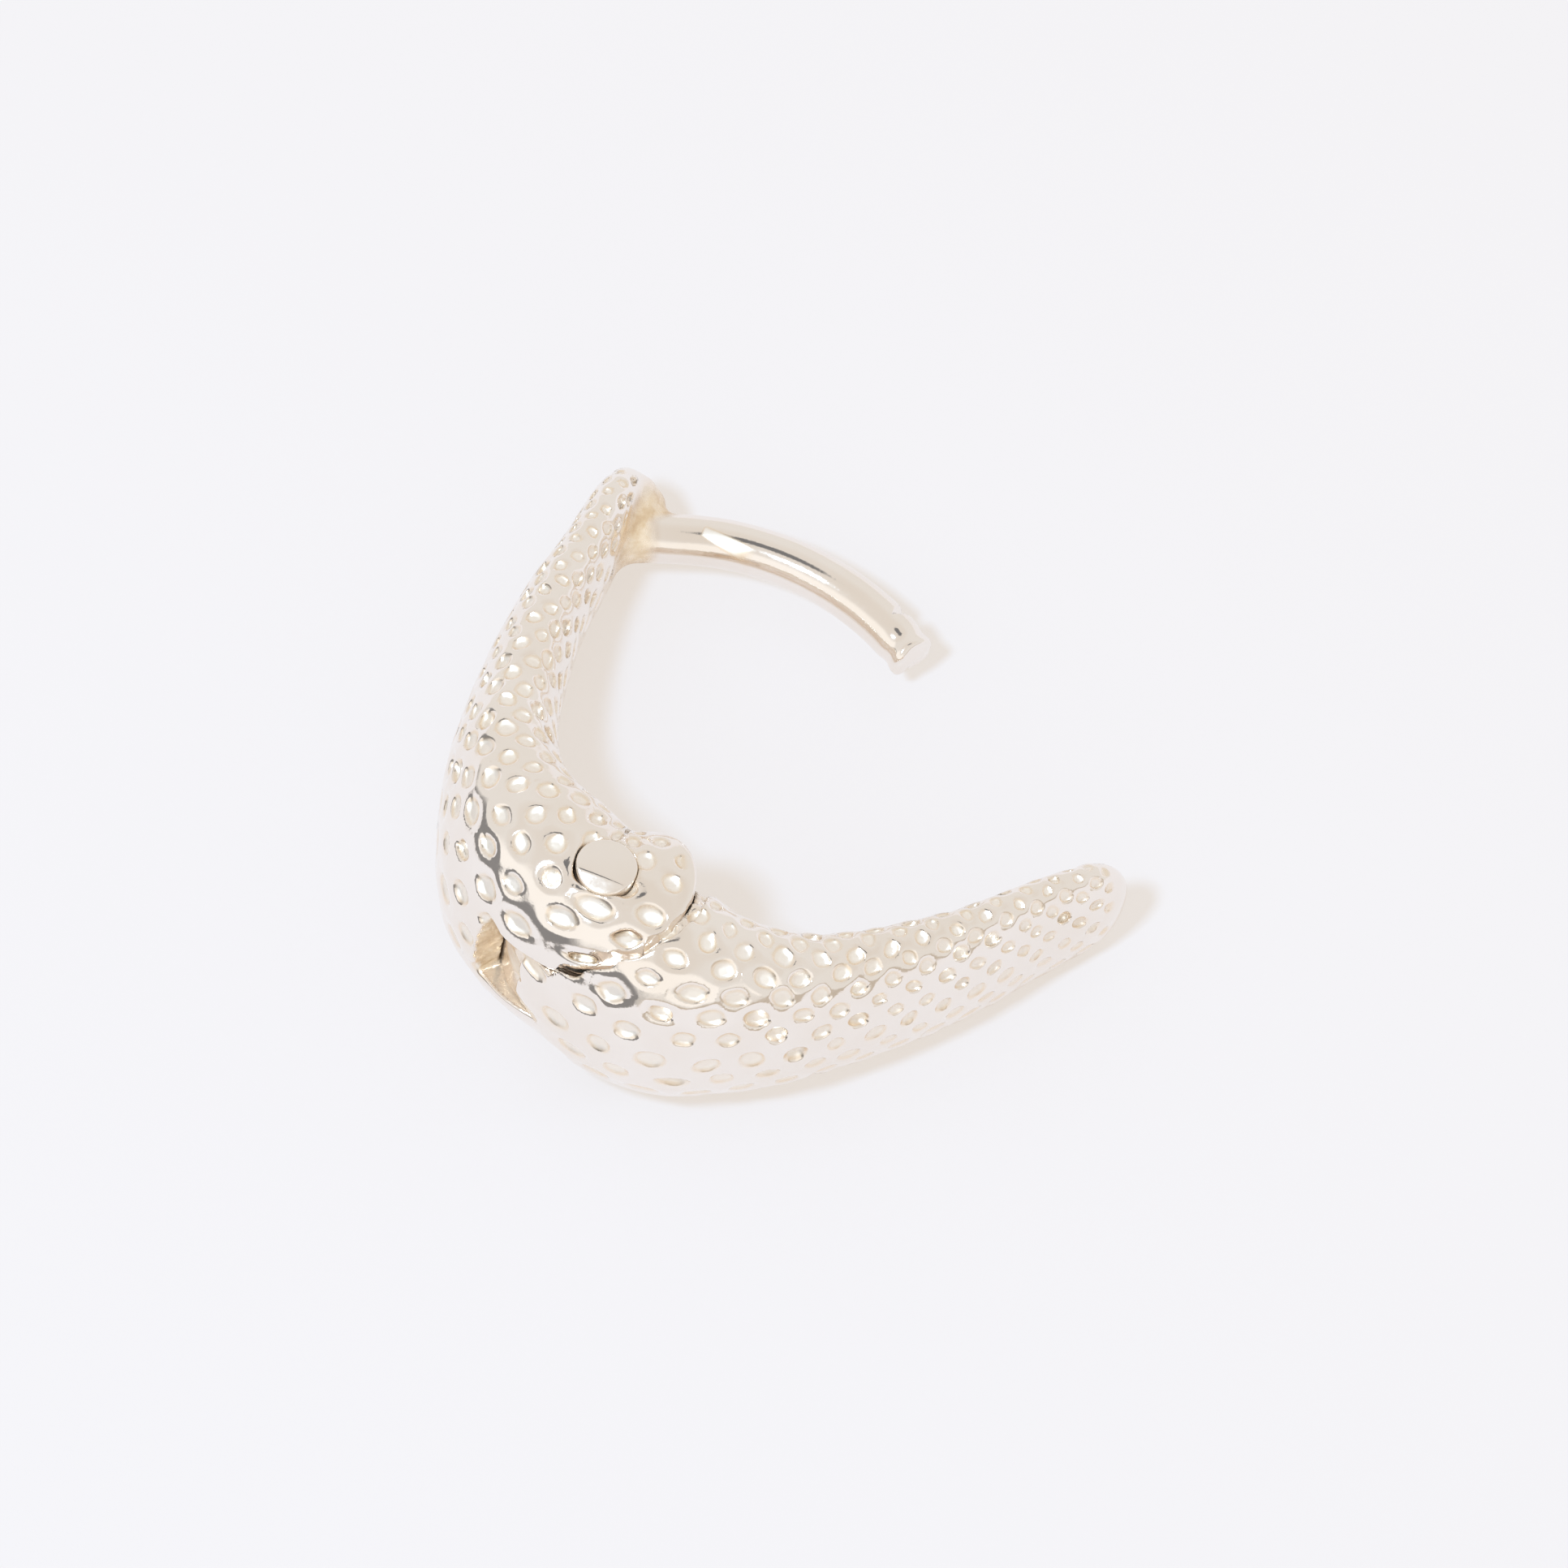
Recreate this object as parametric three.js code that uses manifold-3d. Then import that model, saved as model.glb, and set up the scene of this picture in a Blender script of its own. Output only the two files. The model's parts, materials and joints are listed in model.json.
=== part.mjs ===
// A hinged hoop earring of dimpled cast silver, lying open on its side.
// Two mirror-image arms turn on a pin at the foot of the hoop. A wire post on one arm snaps into the other.
// Millimetres, +Z up. The origin is on the surface that the earring lies on, below the middle of its box.

import * as THREE from 'three';
import { mergeVertices } from 'three/addons/utils/BufferGeometryUtils.js';
import Module from 'manifold-3d';

const wasm = await Module();
wasm.setup();

// Sections of an arm, from behind the pin to the tip. side and rise place a section's centre in the closed
// hoop, measured from the pin. halfWidth lies in the plane of the hoop, halfHeight along the pin.
const ARM_SECTIONS = [
  { side: -3.24, rise: 2.45, halfWidth: 1.57, halfHeight: 2.45 },
  { side: -1.96, rise: 0.89, halfWidth: 2.20, halfHeight: 2.88 },
  { side: 0.00, rise: 0.00, halfWidth: 2.28, halfHeight: 3.12 },
  { side: 1.96, rise: 0.89, halfWidth: 2.20, halfHeight: 3.10 },
  { side: 3.24, rise: 2.45, halfWidth: 1.57, halfHeight: 2.72 },
  { side: 3.91, rise: 4.48, halfWidth: 1.18, halfHeight: 2.32 },
  { side: 4.15, rise: 7.32, halfWidth: 0.90, halfHeight: 2.12 },
  { side: 3.98, rise: 9.69, halfWidth: 0.70, halfHeight: 1.93 },
  { side: 3.82, rise: 12.29, halfWidth: 0.56, halfHeight: 1.55 },
];
const SECTION_FULLNESS = 2.2; // exponent of the section's outline, where 2 is an ellipse
const HINGE_ROW = 2; // the section at the pin
const TIP_ROUNDING = 1.3; // length over which the tip closes

// Dimples stand in lanes along the arm, and each lane is half a pitch ahead of the next.
const DIMPLE_LANES = 18;
const ROWS_PER_DIMPLE = 4; // rows of the skin's mesh
const DIMPLE_PITCH = 1.0;
const DIMPLE_DEPTH = 0.13;
const DIMPLE_FREE_HINGE = 1.15; // the skin around the pin is plain
const DIMPLE_FREE_TIP = 0.9; // so is the end of the tip
const POST_ARM_PLAIN_LENGTH = 1.9; // and the soldered end of the post arm

// The hinge
const PIN_RADIUS = 0.65;
const PIN_LENGTH = 6.2;
const PIN_EDGE = 0.08;
const BORE_CLEARANCE = 0.05;
const EAR_RADIUS = 2.17;
const EAR_START = 0.3; // from the pin back to where the round ear ends begin
const SLOT_WIDTH = 2.3;
const SLOT_ROOT = 2.42; // from the pin to the floor of the slot
const TONGUE_RADIUS = 2.1;
const TONGUE_START = 0.35; // from the pin to where the tongue's round end begins
const TONGUE_CLEARANCE = 0.08; // on each flat side
const SEAT_RADIUS = 2.36;
const SEAT_SHIFT = { side: 0.2, rise: 0.22 }; // the seat is wider on the inside of the hoop
const SHOULDER_CUT = 1.4; // from the pin to the square end of the catch arm's shoulders

// The post is an arc in the middle plane of the hoop.
const POST_RADIUS = 0.55;
const POST_ARC = { radius: 6.5, centreDistance: 5.31, centreAngle: 65.6 };
const POST_FROM_ANGLE = 104;
const POST_TO_ANGLE = 31.5;
const POST_STEPS = 14;
const SOLDER = { atAngle: 102, towardsTip: 0.5 };
// The solder fillet from its sunk base to where it meets the wire
const SOLDER_PROFILE = [
  { radius: 0, along: -0.1 },
  { radius: 0.95, along: -0.1 },
  { radius: 0.72, along: 0.45 },
  { radius: 0.5, along: 1.2 },
  { radius: 0, along: 1.2 },
];
const NOTCH = { fromEnd: 0.85, depth: 0.14, width: 0.2 };
const CATCH_HOLE_RADIUS = 0.8;
const CATCH_HOLE_LENGTH = 3;
const CATCH_HOLE_PLAY = 0.1; // beyond the post's end when the hoop is shut

// How the earring lies
const POST_ARM_TURN = -21.6; // degrees about the pin
const OPEN_ANGLE = 42; // between the arms as shown
const CLOSING_ANGLE = 39.5; // that the catch arm turns to shut
const REST_TILT = 9.24;

const ROUND_SIDES = 32;
const WIRE_SIDES = 16;
const REACH = 30; // longer than the whole earring
const HINGE_REACH = 5; // beyond the hinge on the inside of the hoop
const ARM_SAMPLES = 700;
const WELD = 1e-4;

const radians = THREE.MathUtils.degToRad;

// Closed meshes to solids and back

function solidOf(geometry) {
  const bare = new THREE.BufferGeometry();
  bare.setAttribute('position', geometry.getAttribute('position'));
  bare.setIndex(geometry.getIndex());
  const merged = mergeVertices(bare, WELD);
  return new wasm.Manifold(new wasm.Mesh({
    numProp: 3,
    vertProperties: new Float32Array(merged.getAttribute('position').array),
    triVerts: new Uint32Array(merged.getIndex().array),
  }));
}

function geometryOf(solid) {
  const mesh = solid.getMesh();
  const geometry = new THREE.BufferGeometry();
  geometry.setAttribute('position', new THREE.BufferAttribute(mesh.vertProperties, 3));
  geometry.setIndex(new THREE.BufferAttribute(mesh.triVerts, 1));
  geometry.computeVertexNormals();
  return geometry;
}

function upright(radius, height, sides = ROUND_SIDES) {
  const flatToSide = Math.PI / sides;
  return new THREE.CylinderGeometry(radius, radius, height, sides).rotateX(Math.PI / 2).rotateZ(flatToSide);
}

function block(minimum, maximum) {
  const size = new THREE.Vector3().subVectors(maximum, minimum);
  const middle = new THREE.Vector3().addVectors(minimum, maximum).multiplyScalar(0.5);
  return new THREE.BoxGeometry(size.x, size.y, size.z).translate(middle.x, middle.y, middle.z);
}

// The arm's form

function smooth(before, from, to, after, t) {
  const pull = (to - before) / 2;
  const push = (after - from) / 2;
  const rise = to - from;
  return from + t * (pull + t * (3 * rise - 2 * pull - push + t * (pull + push - 2 * rise)));
}

function sectionAt(place) {
  const last = ARM_SECTIONS.length - 1;
  const row = Math.min(Math.floor(place), last - 1);
  const near = [row - 1, row, row + 1, row + 2].map((i) => ARM_SECTIONS[THREE.MathUtils.clamp(i, 0, last)]);
  const section = {};
  for (const column of Object.keys(ARM_SECTIONS[0])) {
    section[column] = smooth(...near.map((entry) => entry[column]), place - row);
  }
  return section;
}

// The arm's centre line, cut into equal lengths. hingeLength is the length from its start to the pin.
function measureArm() {
  const line = [];
  let length = 0;
  let hingeLength = 0;
  for (let i = 0; i <= ARM_SAMPLES; i += 1) {
    const place = (i / ARM_SAMPLES) * (ARM_SECTIONS.length - 1);
    const section = sectionAt(place);
    if (i > 0) {
      const previous = line[i - 1].section;
      length += Math.hypot(section.side - previous.side, section.rise - previous.rise);
    }
    if (place <= HINGE_ROW) hingeLength = length;
    line.push({ place, length, section });
  }
  return { line, length, hingeLength };
}

const ARM = measureArm();

function sectionAtLength(length) {
  const after = ARM.line.findIndex((sample) => sample.length >= length);
  const i = after < 0 ? ARM.line.length - 1 : Math.max(after, 1);
  const [from, to] = [ARM.line[i - 1], ARM.line[i]];
  const share = (length - from.length) / (to.length - from.length);
  const section = sectionAt(THREE.MathUtils.lerp(from.place, to.place, Math.min(share, 1)));
  const along = new THREE.Vector2(to.section.side - from.section.side, to.section.rise - from.section.rise);
  section.inward = new THREE.Vector2(-along.y, along.x).normalize();
  const beyond = Math.max(0, (length - ARM.length + TIP_ROUNDING) / TIP_ROUNDING);
  section.closing = Math.sqrt(Math.max(0, 1 - beyond * beyond));
  return section;
}

const flatten = (value) => Math.sign(value) * Math.abs(value) ** (2 / SECTION_FULLNESS);

// A point of the arm's skin, pressed in by depth. hand is +1 for the catch arm and -1 for its mirror image.
function skinPoint(section, angle, depth, hand) {
  const width = section.halfWidth * section.closing;
  const height = section.halfHeight * section.closing;
  const outward = new THREE.Vector2(Math.cos(angle) / width, Math.sin(angle) / height).normalize();
  const across = width * flatten(Math.cos(angle)) - depth * outward.x;
  const up = height * flatten(Math.sin(angle)) - depth * outward.y;
  const side = section.side + section.inward.x * across;
  const rise = section.rise + section.inward.y * across;
  return [hand * side, rise, up];
}

// The whole arm, running on behind the pin. A lane is every second column of points, and a dimple's bottom
// is one point of it.
function armGeometry(hand, plainTipLength) {
  const columns = 2 * DIMPLE_LANES;
  const step = DIMPLE_PITCH / ROWS_PER_DIMPLE;
  const rows = Math.floor((ARM.length - step / 2) / step);
  const positions = [];
  const triangles = [];
  for (let row = 0; row <= rows; row += 1) {
    const length = row * step;
    const section = sectionAtLength(length);
    const nearPin = Math.abs(length - ARM.hingeLength) < DIMPLE_FREE_HINGE;
    const plain = nearPin || length > ARM.length - plainTipLength;
    for (let column = 0; column < columns; column += 1) {
      const lane = column / 2;
      const turn = (lane % 2) * (ROWS_PER_DIMPLE / 2);
      const pressed = !plain && Number.isInteger(lane) && row % ROWS_PER_DIMPLE === turn;
      const angle = (column / columns) * 2 * Math.PI;
      const depth = pressed ? DIMPLE_DEPTH * Math.min(1, section.halfWidth) : 0;
      positions.push(...skinPoint(section, angle, depth, hand));
    }
  }
  const start = positions.length / 3;
  const first = sectionAtLength(0);
  const tip = sectionAtLength(ARM.length);
  positions.push(hand * first.side, first.rise, 0, hand * tip.side, tip.rise, 0);
  const face = (a, b, c) => triangles.push(...(hand > 0 ? [a, b, c] : [a, c, b]));
  for (let column = 0; column < columns; column += 1) {
    const next = (column + 1) % columns;
    face(start, next, column);
    face(start + 1, rows * columns + column, rows * columns + next);
    for (let row = 0; row < rows; row += 1) {
      const [low, high] = [row * columns, (row + 1) * columns];
      const leaning = (row + column) % 2 === 0;
      face(low + column, low + next, leaning ? high + next : high + column);
      face(leaning ? low + column : low + next, high + next, high + column);
    }
  }
  const geometry = new THREE.BufferGeometry();
  geometry.setAttribute('position', new THREE.BufferAttribute(new Float32Array(positions), 3));
  geometry.setIndex(triangles);
  return geometry;
}

// The post's arc, in the plane of the hoop

class PostArc extends THREE.Curve {
  getPoint(t, target = new THREE.Vector3()) {
    const centre = radians(POST_ARC.centreAngle);
    const angle = radians(THREE.MathUtils.lerp(POST_FROM_ANGLE, POST_TO_ANGLE, t));
    return target.set(
      POST_ARC.centreDistance * Math.cos(centre) + POST_ARC.radius * Math.cos(angle),
      POST_ARC.centreDistance * Math.sin(centre) + POST_ARC.radius * Math.sin(angle),
      0,
    );
  }
}

const POST_LINE = new PostArc();

// Moves a shape that points along +Y to a place on the post, pointing to its free end.
function onPost(geometry, share) {
  const place = POST_LINE.getPointAt(share);
  const along = POST_LINE.getTangentAt(share);
  const turn = new THREE.Quaternion().setFromUnitVectors(new THREE.Vector3(0, 1, 0), along);
  return geometry.applyQuaternion(turn).translate(place.x, place.y, place.z);
}

function postSolid() {
  const round = new THREE.Shape().absarc(0, 0, POST_RADIUS, 0, 2 * Math.PI);
  const wire = solidOf(new THREE.ExtrudeGeometry(round, {
    extrudePath: POST_LINE,
    steps: POST_STEPS,
    curveSegments: WIRE_SIDES,
    bevelEnabled: false,
  }));
  const profile = SOLDER_PROFILE.map((row) => new THREE.Vector2(row.radius, row.along));
  const [base, top] = [profile[0].y, profile[profile.length - 1].y];
  const cone = new THREE.LatheGeometry(profile, WIRE_SIDES);
  const points = cone.getAttribute('position');
  for (let i = 0; i < points.count; i += 1) {
    const share = (top - points.getY(i)) / (top - base);
    points.setX(i, points.getX(i) - SOLDER.towardsTip * share);
  }
  const atShare = (POST_FROM_ANGLE - SOLDER.atAngle) / (POST_FROM_ANGLE - POST_TO_ANGLE);
  const solder = solidOf(onPost(cone, atShare));
  const nick = new THREE.BoxGeometry(NOTCH.width, NOTCH.width, 2 * POST_RADIUS).rotateZ(Math.PI / 4);
  nick.translate(POST_RADIUS + NOTCH.width * Math.SQRT1_2 - NOTCH.depth, 0, 0).rotateY(-Math.PI / 4);
  return wire.add(solder).subtract(solidOf(onPost(nick, 1 - NOTCH.fromEnd / POST_LINE.getLength())));
}

// The pieces, each in the frame of its own arm with the pin along Z

function postArmGeometry() {
  const arm = solidOf(armGeometry(-1, POST_ARM_PLAIN_LENGTH));
  const pastPin = block(
    new THREE.Vector3(-EAR_START, -REACH, -REACH),
    new THREE.Vector3(REACH, REACH, REACH),
  );
  const earEnds = solidOf(upright(EAR_RADIUS, REACH));
  const slot = block(
    new THREE.Vector3(-SLOT_ROOT, -REACH, -SLOT_WIDTH / 2),
    new THREE.Vector3(REACH, HINGE_REACH, SLOT_WIDTH / 2),
  );
  const bore = upright(PIN_RADIUS + BORE_CLEARANCE, REACH);
  const forked = arm.subtract(solidOf(pastPin).subtract(earEnds))
    .subtract(solidOf(slot))
    .subtract(solidOf(bore));
  const turn = new THREE.Matrix4().makeRotationZ(-radians(POST_ARM_TURN));
  return geometryOf(forked.add(postSolid().transform(turn.elements)));
}

function catchArmGeometry() {
  const arm = solidOf(armGeometry(1, DIMPLE_FREE_TIP));
  const tongueHalf = SLOT_WIDTH / 2 - TONGUE_CLEARANCE;
  const seatRound = upright(SEAT_RADIUS, REACH).translate(SEAT_SHIFT.side, SEAT_SHIFT.rise, 0);
  const shoulderEnd = block(
    new THREE.Vector3(-REACH, -REACH, -REACH),
    new THREE.Vector3(SHOULDER_CUT, HINGE_REACH, REACH),
  );
  const tongueLayer = block(
    new THREE.Vector3(-REACH, -REACH, -tongueHalf),
    new THREE.Vector3(REACH, REACH, tongueHalf),
  );
  const seats = solidOf(seatRound).add(solidOf(shoulderEnd)).subtract(solidOf(tongueLayer));
  const pastPin = block(
    new THREE.Vector3(-REACH, -REACH, -REACH),
    new THREE.Vector3(TONGUE_START, REACH, REACH),
  );
  const tongueEnd = solidOf(upright(TONGUE_RADIUS, REACH));
  const bore = upright(PIN_RADIUS + BORE_CLEARANCE, REACH);

  // The hole lies where the post's end comes when the arm has turned shut.
  const hole = new THREE.CylinderGeometry(
    CATCH_HOLE_RADIUS,
    CATCH_HOLE_RADIUS,
    CATCH_HOLE_LENGTH,
    WIRE_SIDES,
  );
  hole.translate(0, CATCH_HOLE_PLAY - CATCH_HOLE_LENGTH / 2, 0);
  onPost(hole, 1).rotateZ(-radians(POST_ARM_TURN - OPEN_ANGLE + CLOSING_ANGLE));

  return geometryOf(arm.subtract(seats)
    .subtract(solidOf(pastPin).subtract(tongueEnd))
    .subtract(solidOf(bore))
    .subtract(solidOf(hole)));
}

function hingePinGeometry() {
  const half = PIN_LENGTH / 2;
  const profile = [
    [0, -half],
    [PIN_RADIUS - PIN_EDGE, -half],
    [PIN_RADIUS, -half + PIN_EDGE],
    [PIN_RADIUS, half - PIN_EDGE],
    [PIN_RADIUS - PIN_EDGE, half],
    [0, half],
  ].map(([x, y]) => new THREE.Vector2(x, y));
  const lathe = new THREE.LatheGeometry(profile, ROUND_SIDES).rotateX(Math.PI / 2);
  return geometryOf(solidOf(lathe));
}

// The earring as it lies

const silver = { color: 0xe4dcd4, metalness: 1, roughness: 0.18 };

function piece(name, geometry, turn, finish = {}) {
  const mesh = new THREE.Mesh(geometry, new THREE.MeshStandardMaterial({ ...silver, ...finish }));
  mesh.name = name;
  mesh.rotation.z = radians(turn);
  return mesh;
}

const hoop = new THREE.Group();
hoop.add(
  piece('post_arm', postArmGeometry(), POST_ARM_TURN),
  piece('catch_arm', catchArmGeometry(), POST_ARM_TURN - OPEN_ANGLE),
  piece('hinge_pin', hingePinGeometry(), 0, { color: 0xe8e2dc, roughness: 0.22 }),
);

// The thick hinge and the two slimmer tips touch the surface, so the pin leans between the arms.
const leanAngle = radians(90 + POST_ARM_TURN - OPEN_ANGLE / 2);
const tiltAxis = new THREE.Vector3(-Math.sin(leanAngle), Math.cos(leanAngle), 0);
hoop.setRotationFromAxisAngle(tiltAxis, radians(REST_TILT));

const earring = new THREE.Group();
earring.add(hoop);
const box = new THREE.Box3().setFromObject(earring, true);
hoop.position.set(-(box.min.x + box.max.x) / 2, -(box.min.y + box.max.y) / 2, -box.min.z);

export default earring;
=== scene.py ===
"""A hinged hoop earring of dimpled silver, lying open on a pale surface."""
import json
import math

import bpy
import numpy as np
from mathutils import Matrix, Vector


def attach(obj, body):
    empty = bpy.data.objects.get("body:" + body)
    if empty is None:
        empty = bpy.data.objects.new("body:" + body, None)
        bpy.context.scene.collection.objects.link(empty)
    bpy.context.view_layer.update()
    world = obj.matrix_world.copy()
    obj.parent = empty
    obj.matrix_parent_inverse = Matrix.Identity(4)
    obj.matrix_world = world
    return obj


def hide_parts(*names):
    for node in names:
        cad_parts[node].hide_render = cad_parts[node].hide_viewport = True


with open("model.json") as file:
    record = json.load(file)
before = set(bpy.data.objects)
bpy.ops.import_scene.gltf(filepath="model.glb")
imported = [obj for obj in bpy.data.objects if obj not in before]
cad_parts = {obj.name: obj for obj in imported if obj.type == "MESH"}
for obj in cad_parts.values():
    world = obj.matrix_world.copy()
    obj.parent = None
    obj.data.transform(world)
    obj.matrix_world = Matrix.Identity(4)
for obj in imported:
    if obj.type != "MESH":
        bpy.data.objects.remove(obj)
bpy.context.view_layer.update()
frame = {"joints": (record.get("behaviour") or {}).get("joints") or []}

MM = 0.001

# Sections of an arm: side and rise of the centre from the pin, half width in the hoop's plane, half height
ARM_SECTIONS = np.array([
    (-3.24, 2.45, 1.57, 2.45),
    (-1.96, 0.89, 2.20, 2.88),
    (0.00, 0.00, 2.28, 3.12),
    (1.96, 0.89, 2.20, 3.10),
    (3.24, 2.45, 1.57, 2.72),
    (3.91, 4.48, 1.18, 2.32),
    (4.15, 7.32, 0.90, 2.12),
    (3.98, 9.69, 0.70, 1.93),
    (3.82, 12.29, 0.56, 1.55),
])
HINGE_ROW = 2
FULLNESS = 2.2
TIP_ROUNDING = 1.3

PIN_RADIUS, PIN_HALF = 0.65, 3.1
PIN_HEAD = 0.745  # radius of the spread ends
PIN_SIDES, PIN_EDGE, PIN_CROWN, PIN_SLANT = 128, 0.06, 0.03, 0.05
FACET_WAY, FACET_FROM = (-0.35, -0.94), 0.36  # the lower facet of the pin's ends
FACET_SLOPE, FACET_SOFT = 0.26, 0.0004
HEAD_FROM, HEAD_FULL = 1.7, 2.5  # heights between which the pin widens
BORE_RADIUS = 0.675
BORE_SHIFT = (0.005, -0.01)
EAR_RADIUS, EAR_START = 2.17, 0.3
SLOT_HALF, SLOT_ROOT = 1.15, 2.42
SLOT_SLOPE, SLOT_SLOPE_FROM = 1.0, -1.45  # the slot's floor faces outwards
TONGUE_SWEEP, TONGUE_CORNER = 2.15, 0.1  # room for the tongue, and for its corner when it opens
TONGUE_CORNER_SIDE = (1.72, 1.95)
TONGUE_RADIUS, TONGUE_START, TONGUE_HALF = 2.1, 0.35, 1.115
SEAT_RADIUS, SEAT_CENTRE = 2.29, (0.12, 0.14)
SHOULDER_CUT = 1.25  # nothing of the catch arm but its tongue lies before this
SEAT_INNER = 2.195  # beyond this the seat is only a shallow ledge on the inner side
LEDGE_DROP = 0.22  # half the ledge's depth on the outer side
LEDGE_RISE = (0.1, 0.9)  # where the ledge gets shallower

POST_RADIUS = 0.55
POST_ARC_RADIUS, POST_ARC_CENTRE = 6.5, (5.31, 65.6)  # the centre's distance and angle from the pin
POST_ANGLES = (104.0, 31.5)  # of the post's root and end on its arc
POST_END_ROUNDING, POST_END_WEAR = 0.16, 0.05
SOLDER_START, SOLDER_LENGTH, SOLDER_SPREAD, SOLDER_SHIFT = -0.2, 1.5, 0.45, 0.8
SOLDER_HOLLOW = 1.4  # power that makes the flare hollow
SOLDER_LEAN, SOLDER_BACK = 0.8, 0.45  # the solder starts along the leaning arm's middle
PAD_PLACE, PAD_SIZE = (0.68, 0.75), (0.53, 0.8, 0.95)  # solder that ran up to the tip
NOTCH_BACK, NOTCH_DEPTH, NOTCH_HALF = 1.1, 0.22, 0.1
NOTCH_OUT, NOTCH_UP = 0.87, 0.49  # the way the notch faces
NOTCH_FLARE, NOTCH_FLARE_FROM = 0.7, 0.05  # the notch narrows towards its bottom
NECK_BACK, NECK_DEPTH, NECK_HALF = 0.46, 0.05, 0.2  # worn ring close to the post's end
CATCH_HOLE_RADIUS, CATCH_HOLE_SINK, CATCH_HOLE_LENGTH = 0.8, 0.1, 3

POST_ARM_TURN, CATCH_ARM_TURN = -21.6, -63.6
CLOSING_ANGLE = 39.5

DIMPLE_LANES = 22
DIMPLE_PITCH = (0.92, 0.84)  # at the hinge and at the tip
DIMPLE_RADIUS = (0.315, 0.20)
DIMPLE_LANE_SHARE = 0.66  # of the lane's width that a dimple's radius may fill
DIMPLE_SINK = 0.46  # depth over radius
DIMPLE_DEEPER = 1.1  # how much deeper the deepest dimples are
DIMPLE_STRAY = {"along": 0.16, "round": 0.24, "radius": 0.26, "oval": 0.25, "corner": 0.9, "turn": 3}
BOWL_SHARE, BOWL_EDGE = 0.78, (0.35, 1.12)  # of a dimple's depth, and where its side runs, in radii
SKIRT_SHARE, SKIRT_EDGE = 0.22, (0.6, 1.75)
BOTTOM_EDGE = (0.62, 1.0)

EDGE = {  # how far each edge is rounded
    "ear": 0.14, "slot": 0.2, "slot_rim": 0.09, "bore_rim": 0.1, "post_root": 0.32, "solder": 0.2,
    "solder_start": 0.05, "notch": 0.025, "pad": 0.25, "hole": 0.15, "hole_rim": 0.08, "seat": 0.05,
    "seat_floor": 0.08, "seat_rim": 0.07, "tongue": 0.05, "tongue_rim": 0.12, "tongue_bore": 0.07,
}
WAVES = {  # unevenness of the surfaces: height, length and salt
    "post_skin": (0.008, 1.5, 1), "slot_grain": (0.012, 0.16, 2), "slot": (0.010, 0.5, 3),
    "bore": (0.012, 0.8, 4), "wire": (0.004, 1.6, 5), "post_end": (0.05, 0.8, 6), "solder": (0.03, 0.6, 7),
    "pad": (0.02, 0.6, 8), "catch_skin": (0.008, 1.5, 11), "seat": (0.02, 0.7, 12), "ledge": (0.05, 0.6, 13),
}

TIP_PLAIN, CATCH_TIP_PLAIN = 0.55, (0.9, 0.6)  # lengths before the tip without dimples
ROOT_PLAIN, ROOT_PLAIN_FROM = 1.3, 8.0  # smooth skin around the post's root, on the arm's upper part
ROOT_PLAIN_ALONG, ROOT_PLAIN_OUT = 0.5, 0.4
EAR_RIM, EAR_RIM_SIDE = (0.42, 0.16), (0.9, 0.3)  # smooth rim of the ears

GRID = {"post_arm": 0.0635, "catch_arm": 0.0565}  # spacing of the meshes
SPACE = {  # lowest and highest corners of the space that each arm is meshed in
    "post_arm": ((-4.6, -2.7, -3.4), (5.7, 13.0, 3.4)),
    "catch_arm": ((-2.4, -2.7, -3.4), (5.7, 13.0, 3.4)),
}


# Noise and smooth joins

def scatter(i, j, salt):
    """A repeatable number from 0 to 1 for each pair of whole numbers."""
    swing = np.sin(i * 12.9898 + j * 78.233 + salt * 37.719) * 43758.5453
    return swing - np.floor(swing)


def ripple(p, size, salt):
    """Smooth noise of about +-1 with bumps of the given size."""
    turns = np.random.default_rng(salt)
    total = np.zeros(p.shape[1])
    for _ in range(7):
        way = turns.normal(size=3)
        way *= 2 * math.pi / (size * np.linalg.norm(way)) * turns.uniform(0.6, 1.4)
        total += np.sin(way @ p + turns.uniform(0, 2 * math.pi))
    return total / 2.6


def wave(p, kind):
    """The unevenness of one kind of surface."""
    height, length, salt = WAVES[kind]
    return height * ripple(p, length, salt)


def join(a, b, k):
    """The union of two fields with a fillet of size k."""
    h = np.clip(0.5 + 0.5 * (b - a) / k, 0, 1)
    return b + (a - b) * h - k * h * (1 - h)


def cut(a, b, k):
    """Field a without the inside of field b, with an edge rounded by k."""
    return -join(-a, b, k)


def both(a, b, k):
    return -join(-a, -b, k)


# The arm's centre line and what lies around it

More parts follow.
